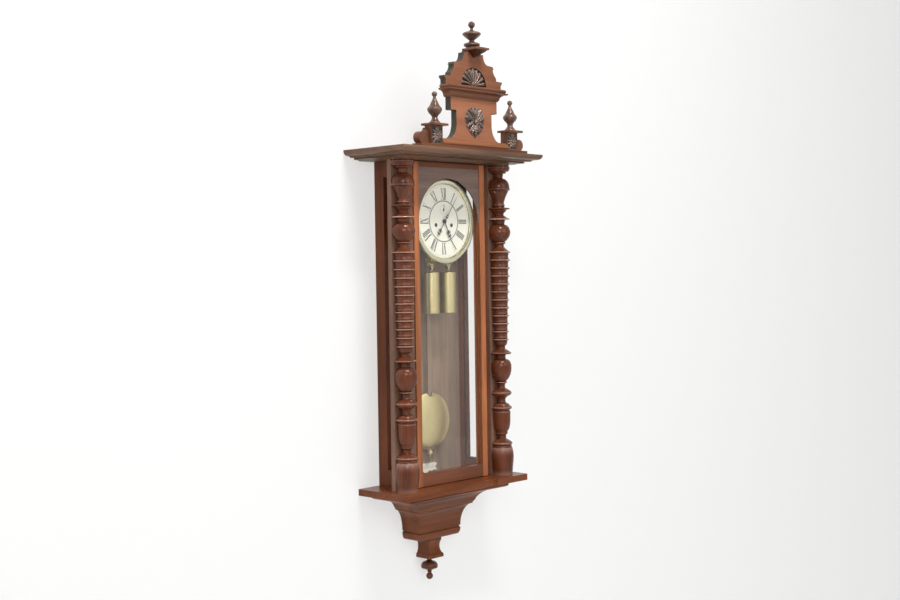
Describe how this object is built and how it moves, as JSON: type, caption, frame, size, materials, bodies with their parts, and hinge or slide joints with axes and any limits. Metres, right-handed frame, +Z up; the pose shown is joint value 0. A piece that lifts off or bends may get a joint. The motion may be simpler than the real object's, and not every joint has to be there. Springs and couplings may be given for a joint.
{
  "type": "vienna regulator clock",
  "caption": "Tall glazed wall clock with turned columns, a carved stepped crest, an arched hinged door and a geared movement with pendulum and line-hung weights.",
  "frame": {"origin": "centre of the hanging hole, in the plane of the wall", "axes": "+X to the viewer's right, +Y into the wall, +Z up; the front faces -Y"},
  "size_m": [0.487, 0.226, 1.3529],
  "materials": {
    "case_wood": "glossy french polish, red brown walnut",
    "crest_wood": "satin, lighter orange brown walnut",
    "carving": "glossy dark carved walnut",
    "inner_wood": "satin dark stained wood",
    "brass": "polished",
    "steel": "satin",
    "blued_steel": "satin black",
    "enamel": "glossy ivory enamel",
    "glass": "clear",
    "cord": "matt gut line"
  },
  "bodies": {
    "case": {"back_board": "inner_wood", "left_side_frame": "case_wood", "right_side_frame": "case_wood", "side_panes": "glass", "case_floor": "inner_wood", "front_boards": "case_wood", "cornice": "case_wood", "base_shelf": "case_wood", "base_corbel": "case_wood", "base_block": "case_wood", "drop_finial": "case_wood", "left_column": "case_wood", "right_column": "case_wood", "crest_board": "crest_wood", "crest_head": "crest_wood", "crest_moulding": "case_wood", "crest_base": "crest_wood", "crest_cap": "case_wood", "crest_finial": "case_wood", "corner_plinths": "case_wood", "corner_finials": "case_wood", "shell_carving": "carving", "leaf_carving": "carving", "wall_hanger": "brass", "beat_scale": "enamel", "case_hinges": "brass", "movement_bracket": "steel", "suspension_bracket": "brass", "movement_plates": "brass", "dial": "enamel", "bezel": "brass", "going_line": "cord", "strike_line": "cord"},
    "door": {"door_frame": "case_wood", "door_spandrel": "case_wood", "door_glass": "glass", "door_hinges": "brass"},
    "centre": {"centre_wheel": "brass", "minute_hand": "blued_steel"},
    "hour": {"hour_wheel": "brass", "hour_hand": "blued_steel"},
    "motion": {"minute_wheel": "brass"},
    "third": {"third_wheel": "brass"},
    "escape": {"escape_wheel": "brass", "seconds_hand": "blued_steel"},
    "anchor": {"anchor": "steel"},
    "going_great": {"going_great_wheel": "brass"},
    "going_barrel": {"going_drum": "brass"},
    "strike_great": {"strike_great_wheel": "brass"},
    "strike_barrel": {"strike_drum": "brass"},
    "pin": {"pin_wheel": "brass"},
    "fly": {"fly": "brass"},
    "pendulum": {"pendulum_rod": "inner_wood", "pendulum_bob": "brass"},
    "going_weight": {"going_weight": "brass", "going_loop": "cord"},
    "going_pulley": {"going_pulley": "brass"},
    "strike_weight": {"strike_weight": "brass", "strike_loop": "cord"},
    "strike_pulley": {"strike_pulley": "brass"}
  },
  "joints": [
    {"name": "door_hinge", "type": "hinge", "parent": "case", "child": "door", "pos_m": [0.1262, -0.0972, -0.3658], "axis": [0, 0, 1], "range_deg": [0, 90]},
    {"name": "minute_spin", "type": "hinge", "parent": "case", "child": "centre", "pos_m": [0, -0.06, -0.12], "axis": [0, 1, 0], "continuous": true},
    {"name": "hour_spin", "type": "hinge", "parent": "case", "child": "hour", "pos_m": [0, -0.084, -0.12], "axis": [0, 1, 0], "continuous": true},
    {"name": "motion_spin", "type": "hinge", "parent": "case", "child": "motion", "pos_m": [0, -0.082, -0.136], "axis": [0, 1, 0], "continuous": true},
    {"name": "third_spin", "type": "hinge", "parent": "case", "child": "third", "pos_m": [0.0196, -0.06, -0.0998], "axis": [0, 1, 0], "continuous": true},
    {"name": "seconds_spin", "type": "hinge", "parent": "case", "child": "escape", "pos_m": [0, -0.06, -0.0914], "axis": [0, 1, 0], "continuous": true},
    {"name": "going_great_spin", "type": "hinge", "parent": "case", "child": "going_great", "pos_m": [0.027, -0.075, -0.1293], "axis": [0, 1, 0], "continuous": true},
    {"name": "strike_great_spin", "type": "hinge", "parent": "case", "child": "strike_great", "pos_m": [-0.027, -0.075, -0.1293], "axis": [0, 1, 0], "continuous": true},
    {"name": "pin_spin", "type": "hinge", "parent": "case", "child": "pin", "pos_m": [-0.0354, -0.06, -0.1068], "axis": [0, 1, 0], "continuous": true},
    {"name": "fly_spin", "type": "hinge", "parent": "case", "child": "fly", "pos_m": [-0.0274, -0.06, -0.0929], "axis": [0, 1, 0], "continuous": true},
    {"name": "pendulum_swing", "type": "hinge", "parent": "case", "child": "pendulum", "pos_m": [0, -0.028, -0.046], "axis": [0, 1, 0], "range_deg": [-2, 2]},
    {"name": "anchor_rock", "type": "hinge", "parent": "case", "child": "anchor", "pos_m": [0, -0.052, -0.046], "axis": [0, 1, 0], "range_deg": [-2, 2]},
    {"name": "going_drop", "type": "slide", "parent": "case", "child": "going_weight", "axis": [0, 0, 1], "range_m": [-0.37, 0.02], "deforming": ["going_line"]},
    {"name": "strike_drop", "type": "slide", "parent": "case", "child": "strike_weight", "axis": [0, 0, 1], "range_m": [-0.37, 0.02], "deforming": ["strike_line"]},
    {"name": "going_wind", "type": "hinge", "parent": "case", "child": "going_barrel", "pos_m": [0.027, -0.066, -0.1293], "axis": [0, 1, 0], "continuous": true},
    {"name": "strike_wind", "type": "hinge", "parent": "case", "child": "strike_barrel", "pos_m": [-0.027, -0.066, -0.1293], "axis": [0, 1, 0], "continuous": true},
    {"name": "going_pulley_spin", "type": "hinge", "parent": "going_weight", "child": "going_pulley", "pos_m": [0.0292, -0.07, -0.214], "axis": [0, 1, 0], "continuous": true},
    {"name": "strike_pulley_spin", "type": "hinge", "parent": "strike_weight", "child": "strike_pulley", "pos_m": [-0.0292, -0.07, -0.214], "axis": [0, 1, 0], "continuous": true}
  ],
  "couplings": [
    {"joint": "hour_spin", "follows": "minute_spin", "ratio": 0.083333},
    {"joint": "motion_spin", "follows": "minute_spin", "ratio": -0.33333},
    {"joint": "third_spin", "follows": "minute_spin", "ratio": -10},
    {"joint": "seconds_spin", "follows": "minute_spin", "ratio": 80},
    {"joint": "going_great_spin", "follows": "minute_spin", "ratio": -0.083333},
    {"joint": "pin_spin", "follows": "strike_great_spin", "ratio": -9},
    {"joint": "fly_spin", "follows": "strike_great_spin", "ratio": 63},
    {"joint": "anchor_rock", "follows": "pendulum_swing", "ratio": 1},
    {"joint": "going_wind", "follows": "going_drop", "rad_per_m": 270.27},
    {"joint": "strike_wind", "follows": "strike_drop", "rad_per_m": -270.27},
    {"joint": "going_pulley_spin", "follows": "going_drop", "rad_per_m": 104.17},
    {"joint": "strike_pulley_spin", "follows": "strike_drop", "rad_per_m": -104.17}
  ]
}
